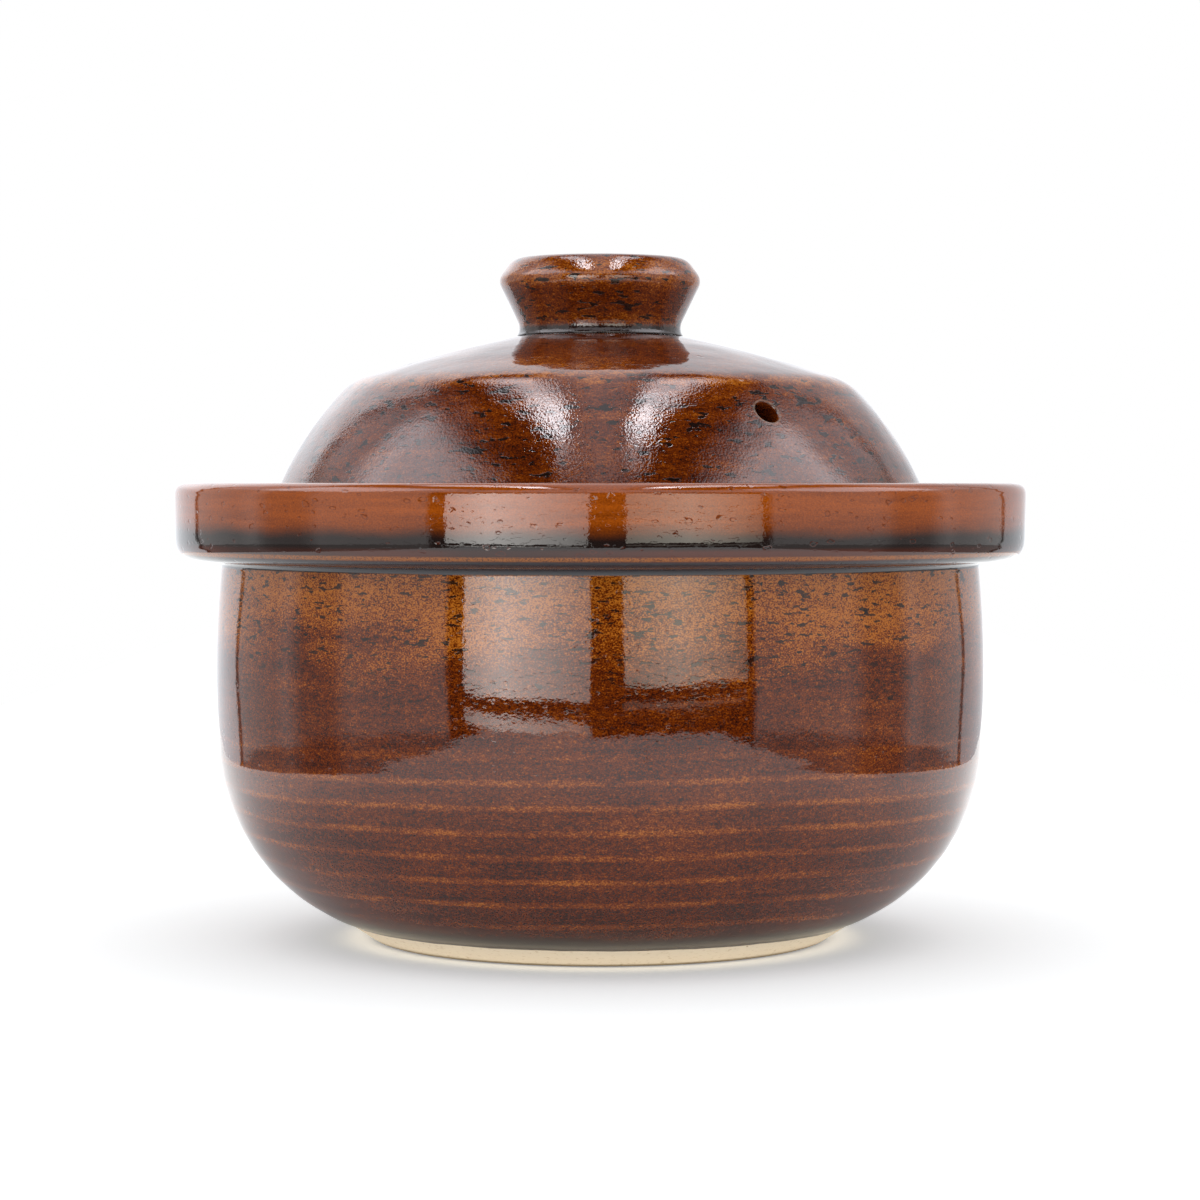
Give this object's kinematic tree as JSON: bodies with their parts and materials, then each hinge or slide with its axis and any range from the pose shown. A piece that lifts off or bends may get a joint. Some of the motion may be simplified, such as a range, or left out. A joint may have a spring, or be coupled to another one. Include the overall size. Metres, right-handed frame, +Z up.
{
  "type": "donabe clay pot",
  "caption": "Round glazed clay cooking pot with a folded rim, a bare foot, and a domed lid with a ring knob and a steam hole that lifts off.",
  "frame": {"origin": "centre of the foot, on the surface that the pot stands on", "axes": "+Z up along the pot's turning axis; the steam hole faces -Y and a little +X, so -Y is the side that the picture shows"},
  "size_m": [0.215, 0.215, 0.172],
  "materials": {
    "pot_glaze": "glossy amber-brown iron glaze with dark specks, bare cream clay at the foot",
    "lid_glaze": "glossy red-brown iron glaze with dark spots, bare clay where it rests",
    "knob_glaze": "glossy amber-brown iron glaze, pooled dark at its neck"
  },
  "bodies": {
    "pot": {"pot_body": "pot_glaze"},
    "lid": {"lid_dome": "lid_glaze", "lid_knob": "knob_glaze"}
  },
  "joints": [
    {"name": "lid_lift", "type": "slide", "parent": "pot", "child": "lid", "axis": [0, 0, 1], "range_m": [0, 0.1]}
  ]
}
